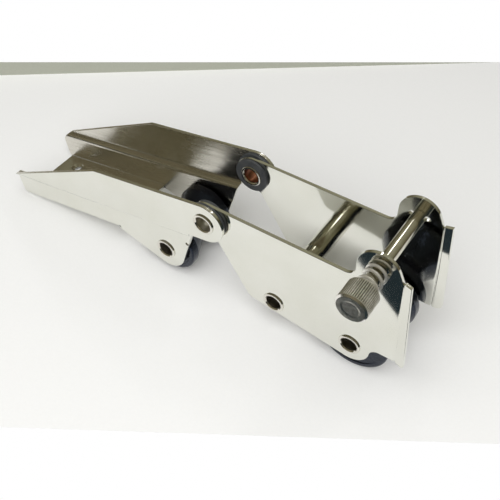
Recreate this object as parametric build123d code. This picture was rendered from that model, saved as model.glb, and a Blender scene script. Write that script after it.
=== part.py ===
from build123d import *
import os
from math import asin, atan2, cos, hypot, radians, sin, tan

# Tilting bow roller: a folded deck channel carries a rear roller, and two hinged
# cheek plates carry a front roller, a distance tube and a bayonet lock pin.
# X points forward over the bow, Y across, Z up, sizes are millimetres. The pieces are
# drawn from the rear edge of the deck plate's underside. The finished part's origin
# is on that underside, midway between the two rear deck screws.

# sheet and widths
plate = 3.0                  # thickness of every sheet
inner_width = 62.0           # clear width between the cheeks, and between the low walls
step_out = 6.0               # how far the flanges stand outside the low walls
bend_inner = 1.2             # inside radius of the sheet's bends

# deck channel, side view
floor_length = 129.0         # deck plate, rear edge to front edge
shoulder_height = 30.0       # top face of the sideways step, above the underside
flange_top = 68.5            # top edge of the flanges
rear_rise = 28.0             # where the flange's edge would meet the rear edge
rear_round = 10.0            # rounded upper rear corner of wall, step and flange
flange_corner_x = 127.0      # where it reaches full height
flange_corner_round = 12.0
lug_round = 18.5             # rounded front end of each flange
pivot_x = 242.0
wall_front_x = 222.0         # front end of the sideways step
rear_axle_x = 182.5
rear_axle_drop = 4.8         # below the underside of the deck plate
rear_lobe_round = 19.5       # low wall round the rear axle
rear_corner_cut = 5.0        # clipped lower rear corner of the low walls
weep_x = 210.5               # small hole near the front of each low wall
weep_z = 11.5
weep_d = 3.0

# deck screws, countersunk from above
screw_x = 22.7               # rear pair, from the plate's rear edge
screw_spacing = 36.0
front_screw_x = 102.8        # third screw, on the centre line
screw_hole_d = 7.0           # clearance for 6 mm screws
screw_head_d = 12.0

# cheek plates, drawn with the pivot at 0, 0 and the top edge level
head_tilt = 9.7              # degrees nose down at rest
cheek_round = 16.0           # rounded rear end, and the top edge's height
heel_x = 39.5                # sharp corner between the rear and bottom edges
heel_z = -68.5
heel_round = 9.0
heel_slope = 57.9            # degrees that the rear edge falls
throat_round = 8.0           # between the rounded end and the falling edge
spacer_x = 63.4
spacer_z = -61.1
front_axle_x = 134.6
front_axle_z = -64.7
front_lobe_round = 17.4
pin_x = 148.0
pin_z = 32.0
ear_round = 17.0             # ear round the lock pin
ear_fillet = 8.0
crease_x = 170.0             # where the lead-in strip bends outward, at the pivot's height
crease_lean = 3.3            # degrees, foot forward
crease_bend = 8.0            # inside radius of that bend
notch_z = -57.7              # edge between the front lobe and the strip
notch_round = 8.5
strip_top_z = 31.0
strip_top_width = 6.2
strip_drop = 0.8             # the strip's lower end, below that edge
strip_bottom_width = 8.3
strip_flare = 15.0           # degrees outward
strip_round = 2.8            # corners of the lower end
strip_nick = 2.4             # relief beside each end of the strip

# tubes with rolled rims
tube_od = 17.0
tube_bore = 13.8
rim_od = 19.6
rim_height = 1.3
rim_bevel = 0.8              # outer corner of the rim
rim_flare = 0.8              # where the bore opens at the rim
shoulder_od = 19.2           # stretch between the plates
seat_gap = 0.02              # round a tube, liner or pin that is fixed in its hole
running = 0.05               # radial gap round a part that turns or slides

# pivot washers
washer_play = 0.3            # beside each face of a cheek
inner_washer = 2.4
inner_washer_round = 15.5
outer_washer_round = 17.5

# rollers
front_roller_round = 31.0
front_groove_round = 19.0
rear_roller_round = 26.0
rear_groove_round = 17.5
roller_play = 2.0            # from the rubber's end to the plate beside it
roller_rim = 8.0             # flat stretch of the rim
roller_edge = 1.8            # its rounding
groove_bend = 9.0            # radius at the bottom of the groove
liner_wall = 2.4
liner_play = 0.35            # from the liner to the plate beside it

# lock pin
pin_d = 11.0
pin_tip = 4.0                # beyond the cross pin
pin_chamfer = 1.2
cross_pin_d = 3.0
cross_pin_length = 16.6
cross_pin_play = 0.3         # to the far ear's outer face
keyway_length = 17.8
keyway_width = 3.6
knob_d = 25.0
knob_length = 20.0
knob_reach = 74.0            # outer face of the knob, from the centre plane
knob_chamfer = 1.5
knob_socket = 14.0           # depth of the pin in the knob
knurl_teeth = 48
knurl_depth = 0.4
spring_wire = 2.4
spring_od = 18.0
spring_turns = 3.0
spring_play = 0.3            # at each end

# sizes that follow from the ones above
half_inner = inner_width / 2
half_cheek = half_inner + plate
roller_width = inner_width - 2 * roller_play
flange_inner = half_inner + step_out
flange_outer = flange_inner + plate
pivot_z = flange_top - lug_round
tube_r = tube_od / 2
outer_washer = flange_inner - half_cheek - washer_play
pivot_inner_end = half_inner - washer_play - inner_washer
liner_bore = shoulder_od / 2 + running
liner_round = liner_bore + liner_wall
cross_pin_y = half_cheek + cross_pin_play + cross_pin_d / 2
pin_end = cross_pin_y + cross_pin_d / 2 + pin_tip
knob_inner = knob_reach - knob_length
low_edge = min(rear_lobe_round + rear_axle_drop, 2 * flange_top) + plate


def side_slab(face, y_low, y_high):
    """A side view (sketch X forward, sketch Y up) as a plate from y_low to y_high."""
    view = Plane(origin=(0, y_high, 0), x_dir=(1, 0, 0), z_dir=(0, -1, 0))
    return extrude(view * face, amount=y_high - y_low)


def plug(x, z, radius, y_low, y_high):
    """Round bar along Y."""
    return side_slab(Pos(x, z) * Circle(radius), y_low, y_high)


def turned(profile, x, z):
    """Turned piece on a Y axis through x, z, from a closed list of (radius, y) points."""
    return Pos(x, 0, z) * revolve(make_face(Polyline(*profile, close=True)), axis=Axis.Y)


def touch(px, pz, cx, cz, radius, side):
    """Where the line from a point just touches a circle, on its left (1) or right (-1)."""
    reach = hypot(cx - px, cz - pz)
    heading = atan2(cz - pz, cx - px) + side * asin(radius / reach)
    run = (reach**2 - radius**2) ** 0.5
    return px + run * cos(heading), pz + run * sin(heading)


def rounded(face, corners):
    """Rounds each corner of a face, given as (x, y, radius)."""
    for x, y, radius in corners:
        corner = face.vertices().sort_by_distance((x, y, 0))[0]
        face = fillet(corner, radius)
    return face


def on_head(x, z):
    """Place in the part for a place on the level cheek drawing."""
    a = radians(head_tilt)
    return pivot_x + x * cos(a) + z * sin(a), pivot_z - x * sin(a) + z * cos(a)


def tilted(shape):
    """Brings a shape from the level cheek drawing to the rest position."""
    return Pos(pivot_x, 0, pivot_z) * Rot(0, head_tilt, 0) * shape


def channel_side(floor_z):
    """Half of the channel's cross-section, one sheet folded at each bend.

    Sketch X runs outward and sketch Y up. With a floor the sheet turns in at the
    bottom; without one the wall runs straight down to floor_z.
    """
    tight = bend_inner
    wide = bend_inner + plate
    step_low = shoulder_height - plate
    outside = [(half_cheek, step_low), (flange_outer, step_low), (flange_outer, flange_top)]
    inside = [(flange_inner, flange_top), (flange_inner, shoulder_height), (half_inner, shoulder_height)]
    bends = [(half_cheek, step_low, tight), (flange_outer, step_low, wide)]
    bends += [(flange_inner, shoulder_height, tight), (half_inner, shoulder_height, wide)]
    if floor_z < 0:
        ends = [(half_inner, floor_z), (half_cheek, floor_z)]
    else:
        ends = [(half_inner, plate), (0, plate), (0, 0), (half_cheek, 0)]
        bends += [(half_inner, plate, tight), (half_cheek, 0, wide)]
    return rounded(make_face(Polyline(*outside, *inside, *ends, close=True)), bends)


def channel_outline():
    """Side view of the channel, from the clipped rear corner to the pivot lug."""
    lobe = (rear_axle_x, -rear_axle_drop, rear_lobe_round)
    dip = touch(floor_length, 0, *lobe, -1)
    front = touch(wall_front_x, shoulder_height, *lobe, 1)
    lobe_low = (rear_axle_x, -rear_axle_drop - rear_lobe_round)
    nose = (pivot_x + lug_round, pivot_z)
    lug_low = pivot_z - lug_round
    edges = [
        Polyline((rear_corner_cut, 0), (0, rear_corner_cut), (0, rear_rise),
                 (flange_corner_x, flange_top), (pivot_x, flange_top)),
        ThreePointArc((pivot_x, flange_top), nose, (pivot_x, lug_low)),
        Polyline((pivot_x, lug_low), (wall_front_x, lug_low), (wall_front_x, shoulder_height), front),
        ThreePointArc(front, lobe_low, dip),
        Polyline(dip, (floor_length, 0), (rear_corner_cut, 0)),
    ]
    corners = [(0, rear_rise, rear_round), (flange_corner_x, flange_top, flange_corner_round)]
    return rounded(make_face(edges), corners)


def countersunk_hole():
    """Screw hole with a cone from the top of the floor, point down from z = 0."""
    hole_r = screw_hole_d / 2
    head_r = screw_head_d / 2
    cone_depth = head_r - hole_r
    profile = [(0, 0), (head_r, 0), (hole_r, -cone_depth), (hole_r, -2 * plate), (0, -2 * plate)]
    return revolve(make_face(Plane.XZ * Polyline(*profile, close=True)), axis=Axis.Z)


def deck_channel():
    """The folded base: floor, low walls, sideways steps and flanges with lugs."""
    whole = pivot_x + lug_round
    floored = extrude(Plane.YZ * channel_side(0), amount=floor_length)
    open_part = Pos(floor_length, 0, 0) * extrude(Plane.YZ * channel_side(-low_edge), amount=whole - floor_length)
    half = floored + open_part
    half = half & side_slab(channel_outline(), 0, flange_outer + 1)
    # ahead of the step only the flat lug is left
    beside_lug = Pos(wall_front_x, 0, 0) * Box(whole, flange_inner, 4 * flange_top, align=(Align.MIN, Align.MIN, Align.CENTER))
    half -= beside_lug
    half -= plug(pivot_x, pivot_z, tube_r + seat_gap, 0, flange_outer + 1)
    half -= plug(rear_axle_x, -rear_axle_drop, tube_r + seat_gap, 0, flange_outer)
    half -= plug(weep_x, weep_z, weep_d / 2, 0, half_cheek + 1)
    body = half + mirror(half, about=Plane.XZ)
    for x, y in [(screw_x, screw_spacing / 2), (screw_x, -screw_spacing / 2), (front_screw_x, 0)]:
        body -= Pos(x, y, plate) * countersunk_hole()
    return body


def crease_at(z):
    """Where the leaning crease lies at a height on the level drawing."""
    return crease_x - z * tan(radians(crease_lean))


def cheek_outline():
    """Side view of a cheek on the level drawing: rounded end, heel, lobe, strip and ear."""
    fall = radians(heel_slope)
    along = (cos(fall), -sin(fall))
    # the falling rear edge meets the rounded end on its lower side
    offset = heel_x * sin(fall) + heel_z * cos(fall)
    chord = (cheek_round**2 - offset**2) ** 0.5
    meet = (offset * sin(fall) + chord * along[0], offset * cos(fall) + chord * along[1])
    lobe = (front_axle_x, front_axle_z, front_lobe_round)
    under = touch(heel_x, heel_z, *lobe, -1)
    rise = (front_lobe_round**2 - (notch_z - front_axle_z) ** 2) ** 0.5
    lobe_end = (front_axle_x + rise, notch_z)
    lobe_low = (front_axle_x, front_axle_z - front_lobe_round)
    strip_low = notch_z - strip_drop
    head = crease_at(strip_top_z)
    foot = crease_at(strip_low)
    lower_nick = [(foot - strip_nick / 2, notch_z), (foot, notch_z + strip_nick)]
    strip = [(foot, strip_low), (foot + strip_bottom_width, strip_low)]
    strip += [(head + strip_top_width, strip_top_z), (head, strip_top_z)]
    upper_nick = (head, strip_top_z - strip_nick)
    ear_end = touch(*upper_nick, pin_x, pin_z, ear_round, -1)
    ear_start = (pin_x - ear_round, pin_z)
    ear_foot = (pin_x - ear_round, cheek_round)
    edges = [
        ThreePointArc((0, cheek_round), (-cheek_round, 0), meet),
        Polyline(meet, (heel_x, heel_z), under),
        ThreePointArc(under, lobe_low, lobe_end),
        Polyline(lobe_end, *lower_nick, *strip, upper_nick, ear_end),
        ThreePointArc(ear_end, (pin_x, pin_z + ear_round), ear_start),
        Polyline(ear_start, ear_foot, (0, cheek_round)),
    ]
    corners = [
        (*meet, throat_round), (heel_x, heel_z, heel_round), (*lobe_end, notch_round),
        (*strip[0], strip_round), (*strip[1], strip_round), (*ear_foot, ear_fillet),
    ]
    return rounded(make_face(edges), corners)


def cheek_plan():
    """Plan of the far cheek: flat, then bent outward along the lead-in strip."""
    flare = radians(strip_flare)
    run = 2 * strip_bottom_width
    out = (run * cos(flare), run * sin(flare))
    thick = (-plate * sin(flare), plate * cos(flare))
    back = -2 * cheek_round
    inner_crease = (crease_x, half_inner)
    outer_crease = (crease_x - plate * (1 - cos(flare)) / sin(flare), half_cheek)
    inner_tip = (crease_x + out[0], half_inner + out[1])
    outer_tip = (inner_tip[0] + thick[0], inner_tip[1] + thick[1])
    points = [(back, half_inner), inner_crease, inner_tip, outer_tip, outer_crease, (back, half_cheek)]
    bends = [(*inner_crease, crease_bend + plate), (*outer_crease, crease_bend)]
    return rounded(make_face(Polyline(*points, close=True)), bends)


def far_cheek_blank():
    """Far cheek with the holes that both cheeks share, on the level drawing."""
    tall = 4 * cheek_round + abs(heel_z)
    lean = Pos(crease_x, 0, 0) * Rot(0, -crease_lean, 0) * Pos(-crease_x, 0, -2 * tall)
    sheet = lean * extrude(cheek_plan(), amount=4 * tall)
    cheek = sheet & side_slab(cheek_outline(), 0, 2 * flange_outer)
    reach = 2 * flange_outer
    cheek -= plug(0, 0, tube_r + running, 0, reach)
    cheek -= plug(spacer_x, spacer_z, tube_r + seat_gap, 0, reach)
    cheek -= plug(front_axle_x, front_axle_z, tube_r + seat_gap, 0, reach)
    cheek -= plug(pin_x, pin_z, pin_d / 2 + running, 0, reach)
    return cheek


def far_cheek():
    """Far cheek, whose pin hole has a keyway for the cross pin."""
    keyway = side_slab(Pos(pin_x, pin_z) * SlotOverall(keyway_length, keyway_width), 0, 2 * flange_outer)
    return tilted(far_cheek_blank() - keyway)


def near_cheek():
    """Near cheek, the mirror image with a plain pin hole."""
    return tilted(mirror(far_cheek_blank(), about=Plane.XZ))


def rolled_tube(y_low, y_high, shoulder_low=None, shoulder_high=None):
    """Tube along Y with a rolled rim beyond each end, and a thicker stretch between."""
    bore = tube_bore / 2
    rim = rim_od / 2
    outer = [(tube_r, y_low), (tube_r, y_high)]
    end_low = y_low - rim_height
    end_high = y_high + rim_height
    if shoulder_low is not None:
        fat = shoulder_od / 2
        outer = [(tube_r, y_low), (tube_r, shoulder_low), (fat, shoulder_low)]
        outer += [(fat, shoulder_high), (tube_r, shoulder_high), (tube_r, y_high)]
    low = [(bore, end_low + rim_flare), (bore + rim_flare, end_low)]
    low += [(rim - rim_bevel, end_low), (rim, end_low + rim_bevel), (rim, y_low)]
    high = [(rim, y_high), (rim, end_high - rim_bevel), (rim - rim_bevel, end_high)]
    high += [(bore + rim_flare, end_high), (bore, end_high - rim_flare)]
    return revolve(make_face(Polyline(*low, *outer, *high, close=True)), axis=Axis.Y)


def cross_tube(x, z):
    """Shouldered tube through two facing plates, its ends rolled over outside them."""
    return Pos(x, 0, z) * rolled_tube(-half_cheek, half_cheek, -half_inner, half_inner)


def pivot_tube(side):
    """Short hollow pivot through a lug, a cheek and the washers; side is 1 for far."""
    tube = rolled_tube(pivot_inner_end, flange_outer)
    if side < 0:
        tube = mirror(tube, about=Plane.XZ)
    return Pos(pivot_x, 0, pivot_z) * tube


def washer(radius, y_low, y_high, side):
    """Flat black washer on a pivot tube."""
    low, high = sorted((side * y_low, side * y_high))
    return plug(pivot_x, pivot_z, radius, low, high) - plug(pivot_x, pivot_z, tube_r + seat_gap, low, high)


def roller(x, z, radius, groove):
    """Grooved rubber roller: flat rims with rounded edges, and a V groove with a round bottom."""
    bore = liner_round + seat_gap
    edge = roller_width / 2
    rim = edge - roller_rim
    slope = atan2(radius - groove, rim)
    # the bend lifts the bottom of the V, so its point lies deeper by that much
    point = groove - groove_bend * (1 / cos(slope) - 1)
    for _ in range(8):
        slope = atan2(radius - point, rim)
        point = groove - groove_bend * (1 / cos(slope) - 1)
    low = [(bore, -edge), (radius, -edge), (radius, -rim)]
    high = [(radius, rim), (radius, edge), (bore, edge)]
    corners = [(radius, -edge, roller_edge), (radius, edge, roller_edge), (point, 0, groove_bend)]
    face = rounded(make_face(Polyline(*low, (point, 0), *high, close=True)), corners)
    return Pos(x, 0, z) * revolve(face, axis=Axis.Y)


def roller_liner(x, z):
    """Hard liner in a roller's bore that turns on the cross tube."""
    end = half_inner - liner_play
    return turned([(liner_bore, -end), (liner_round, -end), (liner_round, end), (liner_bore, end)], x, z)


def lock_pin():
    """Polished pin from the knob's socket to beyond the far ear, drilled for the cross pin."""
    r = pin_d / 2
    start = -knob_reach + knob_length - knob_socket
    profile = [(0, start), (r, start), (r, pin_end - pin_chamfer), (r - pin_chamfer, pin_end), (0, pin_end)]
    x, z = on_head(pin_x, pin_z)
    bar = turned(profile, x, z)
    drill = Pos(0, cross_pin_y, 0) * Cylinder(cross_pin_d / 2 + seat_gap, 2 * pin_d)
    return bar - Pos(x, 0, z) * Rot(0, head_tilt, 0) * drill


def cross_pin():
    """Small pin across the lock pin, upright while locked and level to pass the keyway."""
    x, z = on_head(pin_x, pin_z)
    bar = Cylinder(cross_pin_d / 2, cross_pin_length)
    return Pos(x, cross_pin_y, z) * Rot(0, head_tilt, 0) * bar


def knurl(radius):
    """Cross-section of a straight knurl, a ring of V teeth."""
    half_tooth = radians(180 / knurl_teeth)
    rims = [radius if i % 2 else radius - knurl_depth for i in range(2 * knurl_teeth)]
    points = [(rim * cos(i * half_tooth), rim * sin(i * half_tooth)) for i, rim in enumerate(rims)]
    return make_face(Polyline(*points, close=True))


def knob():
    """Knurled knob with chamfered ends and a socket for the pin."""
    x, z = on_head(pin_x, pin_z)
    r = knob_d / 2
    c = knob_chamfer
    socket = pin_d / 2 + seat_gap
    floor = -knob_inner - knob_socket
    outside = [(0, -knob_reach), (r - c, -knob_reach), (r, -knob_reach + c), (r, -knob_inner - c), (r - c, -knob_inner)]
    blank = turned(outside + [(socket, -knob_inner), (socket, floor), (0, floor)], x, z)
    return blank & side_slab(Pos(x, z) * knurl(r), -knob_reach, -knob_inner)


def spring():
    """Compression spring round the pin, between the near ear and the knob."""
    coil_r = (spring_od - spring_wire) / 2
    low = -knob_inner + spring_play + spring_wire / 2
    high = -half_cheek - spring_play - spring_wire / 2
    path = Helix(pitch=(high - low) / spring_turns, height=high - low, radius=coil_r)
    start = path @ 0
    section = Plane(origin=start, z_dir=path % 0) * Circle(spring_wire / 2)
    coil = sweep(section, path=path, is_frenet=True)
    x, z = on_head(pin_x, pin_z)
    return Pos(x, low, z) * Rot(-90, 0, 0) * coil


def nodes():
    """Every separate piece of the bow roller, by name."""
    rear = (rear_axle_x, -rear_axle_drop)
    front = on_head(front_axle_x, front_axle_z)
    yield "deck_channel", deck_channel()
    yield "rear_axle_tube", cross_tube(*rear)
    yield "rear_roller", roller(*rear, rear_roller_round, rear_groove_round)
    yield "rear_roller_liner", roller_liner(*rear)
    for name, side in (("near", -1), ("far", 1)):
        yield f"{name}_pivot_tube", pivot_tube(side)
        yield f"{name}_outer_washer", washer(outer_washer_round, flange_inner - outer_washer, flange_inner, side)
        inner_start = pivot_inner_end
        yield f"{name}_inner_washer", washer(inner_washer_round, inner_start, inner_start + inner_washer, side)
    yield "near_cheek", near_cheek()
    yield "far_cheek", far_cheek()
    yield "spacer_tube", cross_tube(*on_head(spacer_x, spacer_z))
    yield "front_axle_tube", cross_tube(*front)
    yield "front_roller", roller(*front, front_roller_round, front_groove_round)
    yield "front_roller_liner", roller_liner(*front)
    yield "lock_pin", lock_pin()
    yield "cross_pin", cross_pin()
    yield "lock_pin_knob", knob()
    yield "lock_pin_spring", spring()


os.makedirs("parts", exist_ok=True)
for node, shape in nodes():
    export_step(Pos(-screw_x, 0, 0) * shape, f"parts/{node}.step")
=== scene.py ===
"""Looks of the tilting bow roller: buffed steel sheet and tube, rubber rollers, nylon washers.

Lengths are in millimetres here and turned to metres where a mesh is made. X runs forward over
the bow, Y across and Z up from the deck, as in the frame. Lamps and the scales of patterns
are in metres.
"""
import math

import bmesh
import bpy
import numpy as np
from mathutils import Matrix, Vector
from mathutils.bvhtree import BVHTree


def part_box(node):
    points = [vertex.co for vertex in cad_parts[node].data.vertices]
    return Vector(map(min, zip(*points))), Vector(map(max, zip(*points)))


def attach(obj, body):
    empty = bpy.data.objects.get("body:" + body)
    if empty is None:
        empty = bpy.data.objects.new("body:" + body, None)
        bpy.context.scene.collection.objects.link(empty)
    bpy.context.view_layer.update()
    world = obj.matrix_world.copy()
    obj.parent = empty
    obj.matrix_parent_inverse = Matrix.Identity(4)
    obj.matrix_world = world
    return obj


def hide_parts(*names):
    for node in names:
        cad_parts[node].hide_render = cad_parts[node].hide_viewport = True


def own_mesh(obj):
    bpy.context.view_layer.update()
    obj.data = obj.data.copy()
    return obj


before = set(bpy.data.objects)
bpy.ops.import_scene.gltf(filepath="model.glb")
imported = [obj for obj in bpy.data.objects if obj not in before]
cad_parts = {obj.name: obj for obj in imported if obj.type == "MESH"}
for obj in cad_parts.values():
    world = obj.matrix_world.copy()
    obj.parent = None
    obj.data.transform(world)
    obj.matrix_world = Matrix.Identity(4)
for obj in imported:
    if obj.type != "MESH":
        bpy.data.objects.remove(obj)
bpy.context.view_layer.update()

MM = 0.001

# rolled tubes
BORE, NECK, SHOULDER, RIM = 6.9, 8.5, 9.6, 9.8    # radii: bore, in the plate, between plates, rolled rim
RIM_HEIGHT = 1.3
PLATE = 3.0
MOUTH, MOUTH_FLARE = 1.2, 0.9    # depth and width of the flare at the end of the bore
# rollers
ROLLER_BORE = 12.07
RIM_WIDTH = 8.0
GROOVE_BEND = 9.0
REAR_GROOVE, FRONT_GROOVE = 17.5, 19.0
HUB_WIDTH, LIP_WIDTH = 3.0, 4.4  # flat rings in a roller's end, at the bore and at the rim
RING, RING_SLOPE = 0.8, 0.6      # depth of the moulded ring between them, and width of its sides
# lock pin, knob and spring: radii, chamfers and the pin's stroke, the wire's and the coil's diameter
PIN, PIN_CHAMFER, PIN_PUSH = 5.5, 1.2, 7.0
KNOB, KNOB_CHAMFER = 12.5, 1.5
WIRE, COIL = 2.4, 18.0
# folded sheet
SHEET_EDGE = 0.4                 # round that buffing leaves on a cut edge
INSIDE = 0.7                     # least inward or upward part of the normal of an inside face
FLAT = math.radians(0.4)         # faces that turn by less are joined
SHARP = math.radians(30)         # edges that turn by more are shaded sharp
CUT = math.radians(40)           # and those that turn by more than this are buffed round
# meshes, in metres: points this close are one, in a new mesh and in a solid's
WELD, SOLID_WELD = 1e-7, 2e-6
NO_LENGTH = 1e-8
# how the part stands on the table in the photograph, and where the table ends
TABLE_TILT = math.radians(10.733)
TABLE_TOUCH = -17.7           # x where the channel rests on it
TABLE_FRONT = [(296, -137), (343, -107)]    # x and y of two points on its front edge
TABLE_BACK = [(-188, 90), (279, 449)]       # and on its back edge
PAST_VIEW, PAST_RIGHT = 1400, 1600          # how far its edges run on to the sides
WALL_LEFT = 700                             # how far the wall runs on to the left
# camera, recovered from the photograph
PICTURE = 500                 # pixels, both ways
LENS, SENSOR = 54.379, 36.0
CAMERA = Vector((556.134, -363.456, 426.325))
RIGHT = Vector((0.81476, 0.56031, -0.14906))
UP = Vector((-0.28901, 0.61535, 0.73336))
BACKWARD = RIGHT.cross(UP)
WALL_TOP_ROW = 62             # pixel row where the wall strip ends


# shapes

def axis_of(node):
    """x and z of the middle of a node's box: the axis of a piece that was turned about Y."""
    low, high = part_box(node)
    return (low[0] + high[0]) / 2 / MM, (low[2] + high[2]) / 2 / MM


def ends_of(node):
    """Lowest and highest y of a node."""
    low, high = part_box(node)
    return low[1] / MM, high[1] / MM


def soft_corners(outline, steps=7):
    """Closed outline of (r, y, corner radius) with its corners made round.

    Each corner is cut back by radius * tan(turn / 2), and the arc between the cuts is
    start + R sin(s) along + R (1 - cos s) across, for s from 0 to the turn.
    """
    outline = np.asarray(outline, float)
    points, radii = outline[:, :2], outline[:, 2]
    before = points - np.roll(points, 1, axis=0)
    before /= np.linalg.norm(before, axis=1)[:, None]
    after = np.roll(before, -1, axis=0)
    cross = before[:, 0] * after[:, 1] - before[:, 1] * after[:, 0]
    turn = np.arctan2(cross, (before * after).sum(axis=1))
    side = np.where(turn < 0, -1, 1)[:, None]
    across = np.stack([-before[:, 1], before[:, 0]], axis=1) * side
    start = points - before * (radii * np.tan(np.abs(turn) / 2))[:, None]
    s = np.linspace(0, 1, steps)[None, :] * np.abs(turn)[:, None]
    arc = np.sin(s)[..., None] * before[:, None, :] + (1 - np.cos(s))[..., None] * across[:, None, :]
    return (start[:, None, :] + radii[:, None, None] * arc).reshape(-1, 2)


def both_ends(end, low, high, middle=()):
    """Outline of a piece with two like ends, from the (r, distance from the end, corner radius) of one."""
    first = [(r, low + inward, corner) for r, inward, corner in end]
    last = [(r, high - inward, corner) for r, inward, corner in reversed(end)]
    return first + list(middle) + last


def grid_faces(rows, columns, wrap_rows):
    """Quads over a grid of points that closes along its columns, and along its rows where asked."""
    i = np.arange(rows if wrap_rows else rows - 1)[:, None]
    j = np.arange(columns)[None, :]
    i2, j2 = (i + 1) % rows, (j + 1) % columns
    corners = [i * columns + j, i2 * columns + j, i2 * columns + j2, i * columns + j2]
    return np.stack(corners, axis=-1).reshape(-1, 4)


def piece(name, points, faces, finishes, body, node, sharp=40, bore=None):
    """A finished piece from arrays in mm: seams and poles merged, faces outward, dressed and riding.

    bore is (x, z, radius): faces nearer to that axis than the radius get the second finish.
    """
    mesh = bpy.data.meshes.new(name)
    mesh.from_pydata((np.asarray(points).reshape(-1, 3) * MM).tolist(), [], faces.tolist())
    work = bmesh.new()
    work.from_mesh(mesh)
    bmesh.ops.remove_doubles(work, verts=work.verts, dist=WELD)
    bmesh.ops.dissolve_degenerate(work, edges=work.edges, dist=NO_LENGTH)
    bmesh.ops.recalc_face_normals(work, faces=work.faces)
    if bore:
        for face in work.faces:
            middle = face.calc_center_median() / MM
            face.material_index = int(math.hypot(middle.x - bore[0], middle.z - bore[1]) < bore[2])
    work.to_mesh(mesh)
    work.free()
    mesh.shade_smooth()
    mesh.set_sharp_from_angle(angle=math.radians(sharp))
    return dressed(name, mesh, finishes, body, node)


def dressed(name, mesh, finishes, body, node):
    """Puts a mesh into the scene with its finishes, on its body, in place of its node."""
    for finish in finishes:
        mesh.materials.append(finish)
    made = bpy.data.objects.new(name, mesh)
    bpy.context.scene.collection.objects.link(made)
    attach(made, body)
    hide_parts(node)
    return made


def turned(name, profile, axis, finishes, body, node, turns=144, closed=True, bore=None):
    """Surface of revolution about a line along Y.

    A point (r, y) of the profile goes round as x = ax + r cos u, z = az + r sin u.
    """
    u = np.linspace(0, 2 * np.pi, turns, endpoint=False)
    r, y = profile[:, :1], profile[:, 1:]
    points = np.stack([axis[0] + r * np.cos(u), y + 0 * u, axis[1] + r * np.sin(u)], axis=-1)
    faces = grid_faces(len(profile), turns, closed)
    return piece(name, points, faces, finishes, body, node, bore=bore)


# finishes

def srgb(text):
    """Linear colour from a hex sRGB value."""
    c = np.array([int(text[i:i + 2], 16) / 255 for i in (1, 3, 5)])
    linear = np.where(c <= 0.04045, c / 12.92, ((c + 0.055) / 1.055) ** 2.4)
    return (*linear.tolist(), 1.0)


def add(tree, kind, settings, **links):
    """Adds a node with its settings and links.

    A setting names an input, a property, or stops for a colour ramp, or it gives an input's
    place: places 1 to 4 of a map range are from, to, new from and new to. A link names an input,
    or its place as i0, i1, and so on. A new ramp has two stops, and further ones are added.
    """
    made = tree.nodes.new(kind)
    for key, value in settings.items():
        if key == "stops":
            band = made.color_ramp.elements
            for number, (place, colour) in enumerate(value):
                stop = band[number] if number < 2 else band.new(place)
                stop.position = place
                stop.color = srgb(colour)
        elif isinstance(key, int) or key in made.inputs:
            made.inputs[key].default_value = value
        else:
            setattr(made, key, value)
    for key, socket in links.items():
        place = int(key[1:]) if key[0] == "i" and key[1:].isdigit() else key.replace("_", " ")
        tree.links.new(socket, made.inputs[place])
    return made.outputs[0]


def new_finish(name, **constants):
    """A material with constants on its shader, and where its patterns are measured from."""
    made = bpy.data.materials.new(name)
    made.use_nodes = True
    tree = made.node_tree
    shader = tree.nodes["Principled BSDF"]
    for key, value in constants.items():
        shader.inputs[key.replace("_", " ")].default_value = value
    where = tree.nodes.new("ShaderNodeTexCoord").outputs["Object"]
    return made, tree, where


def coat(made, tint, rough, normal):
    """Links a finish's shader to its colour, roughness and normal, and gives the finish back."""
    tree = made.node_tree
    shader = tree.nodes["Principled BSDF"].inputs
    tree.links.new(tint, shader["Base Color"])
    tree.links.new(rough, shader["Roughness"])
    tree.links.new(normal, shader["Normal"])
    return made


def buffed_sheet():
    """Stainless sheet buffed to a mirror: sharp reflections, faintly wavy, hazy where it was wiped."""
    made, tree, where = new_finish("buffed_stainless_sheet", Metallic=1.0)
    # hand and cloth marks about 35 mm across, with finer ones in them
    haze = add(tree, "ShaderNodeTexNoise", {"Scale": 28, "Detail": 4}, Vector=where)
    # buffing lines 0.7 mm apart and 30 mm long
    along = add(tree, "ShaderNodeMapping", {"Scale": (0.02, 1, 1)}, Vector=where)
    lines = add(tree, "ShaderNodeTexNoise", {"Scale": 1500, "Detail": 2}, Vector=along)
    marks = add(tree, "ShaderNodeMath", {"operation": "MULTIPLY_ADD", 1: 0.1}, i0=lines, i2=haze)
    tint = add(tree, "ShaderNodeValToRGB", {"stops": [(0.3, "#EBEBE4"), (0.7, "#E5E5DC")]}, Fac=haze)
    rough = add(tree, "ShaderNodeMapRange", {1: 0.35, 2: 0.75, 3: 0.03, 4: 0.09}, Value=marks)
    # folding leaves the sheet wavy by less than a tenth of a mm over 70 mm
    waves = add(tree, "ShaderNodeTexNoise", {"Scale": 15, "Detail": 1}, Vector=where)
    wavy = add(tree, "ShaderNodeBump", {"Strength": 0.3, "Distance": 0.0006}, Height=waves)
    lined = add(tree, "ShaderNodeBump", {"Strength": 0.02, "Distance": 0.00005}, Height=lines, Normal=wavy)
    return coat(made, tint, rough, lined)


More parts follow.
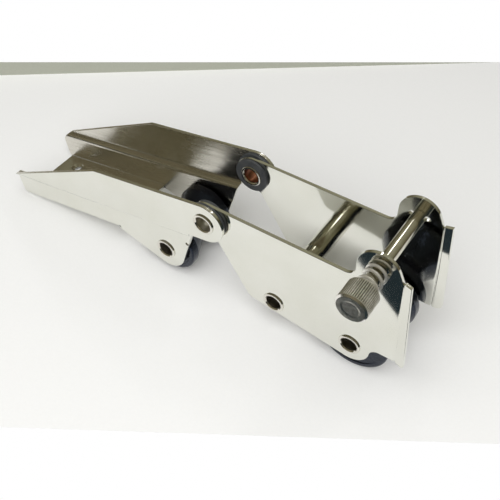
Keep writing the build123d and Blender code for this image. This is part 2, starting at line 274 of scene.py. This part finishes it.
def dull_sheet():
    """Inside of the folded channel, which a wheel can't reach: drawn-out streaks, soft reflections."""
    made, tree, where = new_finish("belt_polished_stainless_sheet", Metallic=1.0)
    # belt streaks 2 mm apart and 100 mm long, with fine lines between them
    along = add(tree, "ShaderNodeMapping", {"Scale": (0.02, 1, 1)}, Vector=where)
    streaks = add(tree, "ShaderNodeTexNoise", {"Scale": 500, "Detail": 5, "Roughness": 0.6}, Vector=along)
    haze = add(tree, "ShaderNodeTexNoise", {"Scale": 22, "Detail": 3}, Vector=where)
    marks = add(tree, "ShaderNodeMath", {"operation": "MULTIPLY_ADD", 1: 0.8}, i0=streaks, i2=haze)
    tint = add(tree, "ShaderNodeValToRGB", {"stops": [(0.3, "#E6E3DB"), (0.7, "#DAD6CC")]}, Fac=streaks)
    rough = add(tree, "ShaderNodeMapRange", {1: 0.65, 2: 1.15, 3: 0.15, 4: 0.3}, Value=marks)
    lined = add(tree, "ShaderNodeBump", {"Strength": 0.1, "Distance": 0.00012}, Height=streaks)
    waves = add(tree, "ShaderNodeTexNoise", {"Scale": 18, "Detail": 1}, Vector=where)
    wavy = add(tree, "ShaderNodeBump", {"Strength": 0.35, "Distance": 0.0006}, Height=waves, Normal=lined)
    return coat(made, tint, rough, wavy)


def polished_tube():
    """Drawn tube, polished in the lathe: faint rings about 1.2 mm apart."""
    made, tree, where = new_finish("lathe_polished_stainless_tube", Metallic=1.0)
    haze = add(tree, "ShaderNodeTexNoise", {"Scale": 60, "Detail": 3}, Vector=where)
    round_it = add(tree, "ShaderNodeMapping", {"Scale": (0.06, 1, 0.06)}, Vector=where)
    rings = add(tree, "ShaderNodeTexNoise", {"Scale": 800, "Detail": 2}, Vector=round_it)
    tint = add(tree, "ShaderNodeValToRGB", {"stops": [(0.3, "#E8E6DE"), (0.75, "#DAD7CD")]}, Fac=haze)
    rough = add(tree, "ShaderNodeMapRange", {1: 0.3, 2: 0.7, 3: 0.07, 4: 0.17}, Value=rings)
    ringed = add(tree, "ShaderNodeBump", {"Strength": 0.06, "Distance": 0.00008}, Height=rings)
    return coat(made, tint, rough, ringed)


def raw_bore(name, pale, dark):
    """Bore as drawn, never polished: dull, stained in patches. One is browner."""
    made, tree, where = new_finish(name, Metallic=1.0)
    stain = add(tree, "ShaderNodeTexNoise", {"Scale": 180, "Detail": 4}, Vector=where)
    along = add(tree, "ShaderNodeMapping", {"Scale": (1, 0.05, 1)}, Vector=where)
    drawn = add(tree, "ShaderNodeTexNoise", {"Scale": 1300, "Detail": 2}, Vector=along)
    tint = add(tree, "ShaderNodeValToRGB", {"stops": [(0.3, pale), (0.7, dark)]}, Fac=stain)
    rough = add(tree, "ShaderNodeMapRange", {1: 0.3, 2: 0.7, 3: 0.3, 4: 0.5}, Value=stain)
    lined = add(tree, "ShaderNodeBump", {"Strength": 0.15, "Distance": 0.0001}, Height=drawn)
    return coat(made, tint, rough, lined)


def ground_bar():
    """Bar ground and then polished: lines 0.7 mm apart along it, a shade darker than the sheet."""
    made, tree, where = new_finish("ground_stainless_bar", Metallic=1.0)
    haze = add(tree, "ShaderNodeTexNoise", {"Scale": 90, "Detail": 3}, Vector=where)
    along = add(tree, "ShaderNodeMapping", {"Scale": (1, 0.04, 1)}, Vector=where)
    lines = add(tree, "ShaderNodeTexNoise", {"Scale": 1400, "Detail": 2}, Vector=along)
    tint = add(tree, "ShaderNodeValToRGB", {"stops": [(0.3, "#E2DFD4"), (0.7, "#D2CEC0")]}, Fac=haze)
    rough = add(tree, "ShaderNodeMapRange", {1: 0.3, 2: 0.7, 3: 0.09, 4: 0.2}, Value=lines)
    lined = add(tree, "ShaderNodeBump", {"Strength": 0.08, "Distance": 0.00008}, Height=lines)
    return coat(made, tint, rough, lined)


def depth_in_knob(tree, where):
    """How deep a point lies in the knob: 1 - r / KNOB, for its distance r from the knob's axis."""
    x, z = axis_of("lock_pin_knob")
    turn = {"Location": (-x / KNOB, 0, -z / KNOB), "Scale": (1 / (KNOB * MM), 0, 1 / (KNOB * MM))}
    from_axis = add(tree, "ShaderNodeMapping", turn, Vector=where)
    return add(tree, "ShaderNodeTexGradient", {"gradient_type": "SPHERICAL"}, Vector=from_axis)


def knurled_bar():
    """Knob as it left the lathe: knurled, not buffed, with painted shade darkening the bottom of the grooves.
    """
    made, tree, where = new_finish("knurled_stainless_bar", Metallic=1.0)
    depth = depth_in_knob(tree, where)
    # painted shade: the colour darkens towards the bottom of the grooves, down to #3A3832
    groove_shade = add(tree, "ShaderNodeMapRange", {1: 0.006, 2: 0.034, 3: 0.0, 4: 0.85}, Value=depth)
    grime = add(tree, "ShaderNodeTexNoise", {"Scale": 420, "Detail": 5, "Roughness": 0.65}, Vector=where)
    blots = add(tree, "ShaderNodeTexNoise", {"Scale": 110, "Detail": 2}, Vector=where)
    marks = add(tree, "ShaderNodeMath", {"operation": "MULTIPLY_ADD", 1: 0.7}, i0=blots, i2=grime)
    tint = add(tree, "ShaderNodeValToRGB", {"stops": [(0.65, "#F6F4EE"), (1.0, "#D4D1C8")]}, Fac=marks)
    groove_shaded_tint = add(tree, "ShaderNodeMixRGB", {"Color2": srgb("#3A3832")}, Fac=groove_shade, Color1=tint)
    rough = add(tree, "ShaderNodeMapRange", {1: 0.65, 2: 1.05, 3: 0.3, 4: 0.5}, Value=marks)
    pitted = add(tree, "ShaderNodeBump", {"Strength": 0.15, "Distance": 0.0001}, Height=grime)
    return coat(made, groove_shaded_tint, rough, pitted)


def turned_face():
    """Ends of the knob, turned and never polished: rings 0.9 mm apart, grey with handling.

    The chamfers, where the depth in the knob is under 0.12, were cut last: they are smoother, and their
    colour is lightened as a painted highlight.
    """
    made, tree, where = new_finish("turned_stainless_face", Metallic=1.0)
    grime = add(tree, "ShaderNodeTexNoise", {"Scale": 260, "Detail": 5, "Roughness": 0.65}, Vector=where)
    tint = add(tree, "ShaderNodeValToRGB", {"stops": [(0.35, "#E4E1D8"), (0.7, "#B0ACA2")]}, Fac=grime)
    x, z = axis_of("lock_pin_knob")
    middle = {"Location": (-x * MM, 0, -z * MM), "Scale": (1, 0, 1)}
    flat = add(tree, "ShaderNodeMapping", middle, Vector=where)
    round_it = {"wave_type": "RINGS", "rings_direction": "SPHERICAL", "Scale": 350}
    rings = add(tree, "ShaderNodeTexWave", round_it, Vector=flat)
    depth = depth_in_knob(tree, where)
    chamfer = add(tree, "ShaderNodeMapRange", {1: 0.125, 2: 0.115, 3: 0.0, 4: 1.0}, Value=depth)
    # painted highlight: the chamfers' colour is lightened towards #F4F2EC
    tint = add(tree, "ShaderNodeMixRGB", {"Color2": srgb("#F4F2EC")}, Fac=chamfer, Color1=tint)
    dull = add(tree, "ShaderNodeMapRange", {1: 0.3, 2: 0.7, 3: 0.3, 4: 0.5}, Value=grime)
    rough = add(tree, "ShaderNodeMapRange", {3: 1.0, 4: 0.5}, Value=chamfer)
    rough = add(tree, "ShaderNodeMath", {"operation": "MULTIPLY"}, i0=rough, i1=dull)
    ringed = add(tree, "ShaderNodeBump", {"Strength": 0.2, "Distance": 0.0001}, Height=rings)
    return coat(made, tint, rough, ringed)


def spring_wire():
    """Drawn stainless wire: bright, with a dry film left by the die."""
    made, tree, where = new_finish("drawn_stainless_wire", Metallic=0.8)
    film = add(tree, "ShaderNodeTexNoise", {"Scale": 300, "Detail": 3}, Vector=where)
    tint = add(tree, "ShaderNodeValToRGB", {"stops": [(0.3, "#F8F6F0"), (0.7, "#EAE7DE")]}, Fac=film)
    rough = add(tree, "ShaderNodeMapRange", {1: 0.3, 2: 0.7, 3: 0.28, 4: 0.44}, Value=film)
    scored = add(tree, "ShaderNodeBump", {"Strength": 0.08, "Distance": 0.0001}, Height=film)
    return coat(made, tint, rough, scored)


def roller_rubber():
    """Moulded black rubber: a glossy skin whose reflections are tinted blue as a painted reflection, small
    blisters and dull scuffs.
    """
    # painted reflection: the rubber's specular is tinted blue
    painted_reflection_blue = srgb("#B4C6EC")
    made, tree, where = new_finish("moulded_black_rubber", Specular_IOR_Level=0.6, Specular_Tint=painted_reflection_blue)
    # scuffs 8 mm across, blisters of 2.4 mm and the mould's grain of 0.6 mm
    scuffs = add(tree, "ShaderNodeTexNoise", {"Scale": 120, "Detail": 4}, Vector=where)
    blisters = add(tree, "ShaderNodeTexNoise", {"Scale": 420, "Detail": 2}, Vector=where)
    grain = add(tree, "ShaderNodeTexNoise", {"Scale": 1600, "Detail": 2}, Vector=where)
    tint = add(tree, "ShaderNodeValToRGB", {"stops": [(0.35, "#09070C"), (0.75, "#131619")]}, Fac=scuffs)
    rough = add(tree, "ShaderNodeMapRange", {1: 0.3, 2: 0.7, 3: 0.08, 4: 0.24}, Value=scuffs)
    blistered = add(tree, "ShaderNodeBump", {"Strength": 0.5, "Distance": 0.0005}, Height=blisters)
    fine = {"Strength": 0.12, "Distance": 0.0001}
    grained = add(tree, "ShaderNodeBump", fine, Height=grain, Normal=blistered)
    return coat(made, tint, rough, grained)


def washer_nylon():
    """Punched black nylon: greyed, matt, with a fine sheeted grain."""
    made, tree, where = new_finish("punched_black_nylon", Specular_IOR_Level=0.4)
    blots = add(tree, "ShaderNodeTexNoise", {"Scale": 200, "Detail": 4}, Vector=where)
    grain = add(tree, "ShaderNodeTexNoise", {"Scale": 1500, "Detail": 2}, Vector=where)
    tint = add(tree, "ShaderNodeValToRGB", {"stops": [(0.3, "#35373A"), (0.7, "#4C4E4F")]}, Fac=blots)
    rough = add(tree, "ShaderNodeMapRange", {1: 0.3, 2: 0.7, 3: 0.36, 4: 0.52}, Value=blots)
    grained = add(tree, "ShaderNodeBump", {"Strength": 0.15, "Distance": 0.0001}, Height=grain)
    return coat(made, tint, rough, grained)


def liner_acetal():
    """Turned black acetal: smooth, with turning rings 0.8 mm apart."""
    made, tree, where = new_finish("turned_black_acetal", Specular_IOR_Level=0.5)
    round_it = add(tree, "ShaderNodeMapping", {"Scale": (0.05, 1, 0.05)}, Vector=where)
    rings = add(tree, "ShaderNodeTexNoise", {"Scale": 1200, "Detail": 2}, Vector=round_it)
    tint = add(tree, "ShaderNodeValToRGB", {"stops": [(0.3, "#17181A"), (0.7, "#232427")]}, Fac=rings)
    rough = add(tree, "ShaderNodeMapRange", {1: 0.3, 2: 0.7, 3: 0.28, 4: 0.42}, Value=rings)
    ringed = add(tree, "ShaderNodeBump", {"Strength": 0.2, "Distance": 0.0001}, Height=rings)
    return coat(made, tint, rough, ringed)


# pieces

def softened_sheet(node, body, finishes):
    """The folded sheet with its triangles joined and its cut edges rounded as buffing leaves them.

    Faces that look inward or up from the floor take the second finish, where there is one.
    """
    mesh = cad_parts[node].data.copy()
    work = bmesh.new()
    work.from_mesh(mesh)
    bmesh.ops.remove_doubles(work, verts=work.verts, dist=SOLID_WELD)
    bmesh.ops.dissolve_limit(work, angle_limit=FLAT, verts=work.verts, edges=work.edges)
    source = BVHTree.FromBMesh(work)
    work.to_mesh(mesh)
    work.free()
    mesh.shade_smooth()
    mesh.set_sharp_from_angle(angle=SHARP)
    rough_cut = bpy.data.objects.new(node + "_cut", mesh)
    bpy.context.scene.collection.objects.link(rough_cut)
    bevel = rough_cut.modifiers.new("buffed_edges", "BEVEL")
    bevel.width = SHEET_EDGE * MM
    bevel.segments = 3
    bevel.limit_method = "ANGLE"
    bevel.angle_limit = CUT
    bevel.use_clamp_overlap = False
    bevel.harden_normals = True
    graph = bpy.context.evaluated_depsgraph_get()
    shaped = rough_cut.evaluated_get(graph)
    buffed = bpy.data.meshes.new_from_object(shaped, preserve_all_data_layers=True, depsgraph=graph)
    bpy.data.objects.remove(rough_cut)
    # a corner too tight for the rounding is laid back on the sheet
    for vertex in buffed.vertices:
        nearest, _, _, gap = source.find_nearest(vertex.co)
        if gap > SHEET_EDGE * MM:
            vertex.co = nearest
    buffed.materials.clear()
    if len(finishes) > 1:
        for face in buffed.polygons:
            inward = -face.normal.y * math.copysign(1, face.center.y)
            face.material_index = int(inward > INSIDE or face.normal.z > INSIDE)
    return dressed(node + "_buffed", buffed, finishes, body, node)


def rolled_tube(node, body, shoulder, finishes):
    """Tube whose ends are rolled over the plates: round lips, flared mouths, thicker between plates."""
    low, high = ends_of(node)
    end = [(BORE, MOUTH, 0.8), (BORE + MOUTH_FLARE, 0, 0.35), (RIM - 0.1, 0, 0.75)]
    end += [(RIM, RIM_HEIGHT, 0.15), (NECK, RIM_HEIGHT, 0)]
    if shoulder:
        end += [(NECK, RIM_HEIGHT + PLATE, 0), (SHOULDER, RIM_HEIGHT + PLATE, 0.2)]
    side = both_ends(end, low, high)
    axis = axis_of(node)
    turned(node + "_rolled", soft_corners(side), axis, finishes, body, node,
           bore=(*axis, BORE + 0.12))


def moulded_roller(node, body, groove):
    """Roller with flat rims, a V groove with a round bottom and a shallow ring moulded in each end.

    The V runs from the rim's edge to touch the round bottom, so its tip lies deeper than the
    groove by bend * (1 / cos(slope) - 1).
    """
    low, high = ends_of(node)
    box_low, box_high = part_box(node)
    radius = (box_high[0] - box_low[0]) / 2 / MM
    rim = high - RIM_WIDTH
    tip = groove
    # the slope depends on the tip and the tip on the slope, so they settle over a few rounds
    for _ in range(8):
        slope = math.atan2(radius - tip, rim)
        tip = groove - GROOVE_BEND * (1 / math.cos(slope) - 1)
    hub, lip = ROLLER_BORE + HUB_WIDTH, radius - LIP_WIDTH
    end = [(ROLLER_BORE, 0, 0.3), (hub, 0, 0.5), (hub + RING_SLOPE, RING, 0.5), (lip - RING_SLOPE, RING, 0.5)]
    end += [(lip, 0, 0.5), (radius, 0, 1.8)]
    groove_line = [(radius, -rim, 1.5), (tip, 0, GROOVE_BEND), (radius, rim, 1.5)]
    side = both_ends(end, low, high, groove_line)
    turned(node + "_moulded", soft_corners(side, 9), axis_of(node), [rubber], body, node,
           turns=180)


def ground_pin():
    """Lock pin with chamfered ends."""
    low, high = ends_of("lock_pin")
    tip = PIN - PIN_CHAMFER
    side = both_ends([(0, 0, 0), (tip, 0, 0.3), (PIN, PIN_CHAMFER, 0.3)], low, high)
    turned("lock_pin_ground", soft_corners(side), axis_of("lock_pin"), [bar_steel], "lock",
           "lock_pin", closed=False)


def knurled_knob():
    """Knob with a straight knurl, chamfered at both ends and slightly dished on its face.

    Round the band the radius is R - depth * (1 - |sin(n u / 2)|), for n grooves, and the
    grooves run out over their last 0.8 mm before each chamfer.
    """
    low, high = ends_of("lock_pin_knob")
    depth, grooves, steps = 0.45, 48, 7
    points_per_groove, rows, run_out_length = 8, 24, 0.8
    dish, dish_floor, dish_edge = 0.3, 6.2, 7.6
    chamfered = KNOB - KNOB_CHAMFER
    face = [(0, low + dish, 0), (dish_floor, low + dish, 1.2), (dish_edge, low, 1.2), (chamfered, low, 0.25)]
    face += [(KNOB, low + KNOB_CHAMFER, 0.2), (KNOB, high, 0)]
    face = soft_corners(face, steps)[steps - 1:-steps]
    band = np.linspace(low + KNOB_CHAMFER + 0.2, high - KNOB_CHAMFER, rows)
    back = [(chamfered, high), (PIN + 0.05, high), (PIN + 0.02, high - 1), (0, high - 1)]
    profile = np.concatenate([face, np.stack([0 * band + KNOB, band], axis=1), back])
    u = np.linspace(0, 2 * np.pi, grooves * points_per_groove, endpoint=False)[None, :]
    r, y = profile[:, :1], profile[:, 1:]
    run_out = np.clip((np.minimum(y - low, high - y) - KNOB_CHAMFER) / run_out_length, 0, 1)
    r = r - depth * run_out * (r > KNOB - 1e-6) * (1 - np.abs(np.sin(grooves * u / 2)))
    x, z = axis_of("lock_pin_knob")
    points = np.stack([x + r * np.cos(u), y + 0 * r, z + r * np.sin(u)], axis=-1)
    faces = grid_faces(*r.shape, False)
    piece("lock_pin_knob_knurled", points, faces, [knob_steel, face_steel], "lock",
          "lock_pin_knob", sharp=35, bore=(x, z, KNOB - depth - 0.05))


def coil_spring(turns=4.0):
    """Compression spring with its end coils closed.

    The wire's centre goes round as (R cos a, R sin a) while its y rises by
    s - closing sin(2 pi s) / (2 pi), which lays the end coils flat. Its section is a circle square
    to that path, and each end closes in a short taper.
    """
    points_long, points_round, closing, taper = 400, 20, 0.85, 0.85
    low, high = ends_of("lock_pin_spring")
    x, z = axis_of("lock_pin_spring")
    ring, half = (COIL - WIRE) / 2, WIRE / 2
    s = np.linspace(0, 1, points_long)
    a = 2 * np.pi * turns * s
    y = low + half + (s - closing * np.sin(2 * np.pi * s) / (2 * np.pi)) * (high - low - WIRE)
    path = np.stack([x + ring * np.cos(a), y, z + ring * np.sin(a)], axis=1)
    along = np.gradient(path, axis=0)
    along /= np.linalg.norm(along, axis=1)[:, None]
    out = np.stack([np.cos(a), 0 * a, np.sin(a)], axis=1)
    side = np.cross(along, out)
    w = np.linspace(0, 2 * np.pi, points_round, endpoint=False)
    size = half * np.concatenate([[0, taper], np.ones(points_long - 4), [taper, 0]])
    ring_points = out[:, None, :] * np.cos(w)[None, :, None] + side[:, None, :] * np.sin(w)[None, :, None]
    points = path[:, None, :] + size[:, None, None] * ring_points
    faces = grid_faces(points_long, points_round, False)
    coil = piece("lock_pin_spring_coiled", points, faces, [wire_steel], "spring",
                 "lock_pin_spring")
    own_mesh(coil)


sheet_steel = buffed_sheet()
inside_steel = dull_sheet()
tube_steel = polished_tube()
grey_bore = raw_bore("as_drawn_bore", "#D2CEC3", "#ACA89D")
brown_bore = raw_bore("brown_tinted_bore", "#A87458", "#7A5040")
bar_steel = ground_bar()
knob_steel = knurled_bar()
face_steel = turned_face()
wire_steel = spring_wire()
rubber = roller_rubber()
nylon = washer_nylon()
acetal = liner_acetal()

softened_sheet("deck_channel", "channel", [sheet_steel, inside_steel])
softened_sheet("near_cheek", "head", [sheet_steel])
softened_sheet("far_cheek", "head", [sheet_steel])
rolled_tube("rear_axle_tube", "channel", True, [tube_steel, grey_bore])
rolled_tube("front_axle_tube", "head", True, [tube_steel, grey_bore])
rolled_tube("spacer_tube", "head", True, [tube_steel, grey_bore])
rolled_tube("near_pivot_tube", "channel", False, [tube_steel, grey_bore])
rolled_tube("far_pivot_tube", "channel", False, [tube_steel, brown_bore])
moulded_roller("rear_roller", "rear_roller", REAR_GROOVE)
moulded_roller("front_roller", "front_roller", FRONT_GROOVE)
ground_pin()
knurled_knob()
coil_spring()

# the solids that stay as they are
kept = {nylon: ["near_outer_washer", "far_outer_washer", "near_inner_washer", "far_inner_washer"],
        acetal: ["rear_roller_liner", "front_roller_liner"], bar_steel: ["cross_pin"]}
for finish, nodes in kept.items():
    for node in nodes:
        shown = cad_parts[node]
        if not shown.material_slots:
            shown.data.materials.append(finish)
        for slot in shown.material_slots:
            slot.material = finish


# table, wall, room and light

def on_table(x, y):
    """Point of the table at an x and y of the frame: it slopes, as the part stands nose down on it."""
    return Vector((x, y, (TABLE_TOUCH - x) * math.tan(TABLE_TILT)))


def seen_at(column, row, point, normal):
    """Where the sight line of a pixel meets a plane."""
    focal = LENS / SENSOR * PICTURE
    sight = RIGHT * (column - PICTURE / 2) - UP * (row - PICTURE / 2) - BACKWARD * focal
    return CAMERA + sight * ((point - CAMERA).dot(normal) / sight.dot(normal))


def set_surface(name, pale, dark, rough):
    """Painted or laminated surface of the set, with a grain of 2 mm; clear to the camera from behind."""
    made, tree, where = new_finish(name, Roughness=rough, Specular_IOR_Level=0.2)
    grain = add(tree, "ShaderNodeTexNoise", {"Scale": 500, "Detail": 3}, Vector=where)
    tint = add(tree, "ShaderNodeValToRGB", {"stops": [(0.3, pale), (0.7, dark)]}, Fac=grain)
    shader = tree.nodes["Principled BSDF"]
    tree.links.new(tint, shader.inputs["Base Color"])
    behind = tree.nodes.new("ShaderNodeNewGeometry").outputs["Backfacing"]
    seen = tree.nodes.new("ShaderNodeLightPath").outputs["Is Camera Ray"]
    hidden = add(tree, "ShaderNodeMath", {"operation": "MULTIPLY"}, i0=behind, i1=seen)
    clear = add(tree, "ShaderNodeBsdfTransparent", {})
    mixed = add(tree, "ShaderNodeMixShader", {}, i0=hidden, i1=shader.outputs[0], i2=clear)
    tree.links.new(mixed, tree.nodes["Material Output"].inputs["Surface"])
    return made


def set_sheet(name, corners, finish):
    """A flat sheet of the set."""
    mesh = bpy.data.meshes.new(name)
    mesh.from_pydata([tuple(c * MM) for c in corners], [], [tuple(range(len(corners)))])
    mesh.materials.append(finish)
    made = bpy.data.objects.new(name, mesh)
    bpy.context.scene.collection.objects.link(made)


def build_set():
    """White table whose front edge is just below the view, and the strip of wall behind it."""
    (a, b), (c, d) = [[on_table(*p) for p in edge] for edge in (TABLE_FRONT, TABLE_BACK)]
    front, back = (b - a).normalized(), (d - c).normalized()
    laminate = set_surface("white_table_laminate", "#F9F9F8", "#F7F7F6", 0.55)
    corners = [a - front * PAST_VIEW, a + front * PAST_VIEW, c + back * PAST_RIGHT, c - back * PAST_VIEW]
    set_sheet("table_top", corners, laminate)
    upright = back.cross(Vector((math.sin(TABLE_TILT), 0, math.cos(TABLE_TILT))))
    paint = set_surface("grey_beige_wall_paint", "#B2B4A8", "#AEB0A3", 0.7)
    right = seen_at(PICTURE, WALL_TOP_ROW, c, upright)
    left = seen_at(-PICTURE, WALL_TOP_ROW, c, upright)
    set_sheet("wall_strip", [c - back * WALL_LEFT, d + back * (right - d).dot(back), left], paint)


def build_room():
    """World that is white where the camera looks past the set, a drab room where metal mirrors it,
    and faint even light on what is matt.

    What is mirrored changes with the angle between its direction and one that points up and
    away from the camera. The room is a dark blue-green on the opposite side, has a pale band
    about square to that direction and a darker one beyond it, and is palest along it.
    """
    world = bpy.data.worlds.new("room")
    bpy.context.scene.world = world
    world.use_nodes = True
    tree = world.node_tree
    ray = tree.nodes.new("ShaderNodeLightPath").outputs
    way = tree.nodes.new("ShaderNodeTexCoord").outputs["Generated"]
    upward = {"operation": "DOT_PRODUCT", 1: Vector((0.15, 0.55, 0.80)).normalized()}
    cosine = add(tree, "ShaderNodeVectorMath", upward, i0=way).node.outputs["Value"]
    place = add(tree, "ShaderNodeMapRange", {1: -1.0, 2: 1.0}, Value=cosine)
    stops = [(0.0, "#252F34"), (0.2, "#2A3336"), (0.42, "#4A483B"), (0.58, "#857E68")]
    stops += [(0.7, "#544E3C"), (0.85, "#807D68"), (1.0, "#928F7B")]
    drab = add(tree, "ShaderNodeValToRGB", {"stops": stops}, Fac=place)
    room = add(tree, "ShaderNodeBackground", {}, Color=drab)
    faint = add(tree, "ShaderNodeBackground", {"Color": srgb("#FFFDF2"), "Strength": 0.2})
    white = add(tree, "ShaderNodeBackground", {"Color": srgb("#FFFFFF"), "Strength": 1.0})
    light = add(tree, "ShaderNodeMixShader", {}, i0=ray["Is Glossy Ray"], i1=faint, i2=room)
    final = add(tree, "ShaderNodeMixShader", {}, i0=ray["Is Camera Ray"], i1=light, i2=white)
    tree.links.new(final, tree.nodes["World Output"].inputs["Surface"])


def lamp(name, place, target, size, power, mirrored):
    """A square lamp in metres and watts, which metal mirrors or not."""
    light = bpy.data.lights.new(name, "AREA")
    light.size = size
    light.energy = power
    made = bpy.data.objects.new(name, light)
    made.location = place
    made.rotation_mode = "QUATERNION"
    made.rotation_quaternion = (Vector(target) - Vector(place)).to_track_quat("-Z", "Y")
    made.visible_glossy = mirrored
    bpy.context.scene.collection.objects.link(made)


def build_camera():
    """Camera at the photograph's place, looking against RIGHT x UP."""
    lens = bpy.data.cameras.new("camera")
    lens.sensor_width = SENSOR
    lens.lens = LENS
    lens.clip_start, lens.clip_end = 0.01, 20
    made = bpy.data.objects.new("camera", lens)
    turn = Matrix((RIGHT, UP, BACKWARD)).transposed()
    made.matrix_world = Matrix.Translation(CAMERA * MM) @ turn.to_4x4()
    bpy.context.scene.collection.objects.link(made)
    bpy.context.scene.camera = made


build_set()
build_room()
# a wall of windows that metal doesn't mirror, and two bulbs that it does
lamp("window_wall", (0.75, -0.95, 1.45), (0.20, 0.0, 0.0), 2.4, 45.0, False)
lamp("bulb", (0.9, 0.7, 1.2), (0.30, 0.0, 0.0), 0.12, 0.6, True)
lamp("far_bulb", (0.2, 1.1, 1.3), (0.30, 0.0, 0.0), 0.15, 0.8, True)
build_camera()
bpy.context.scene.view_settings.view_transform = "Standard"
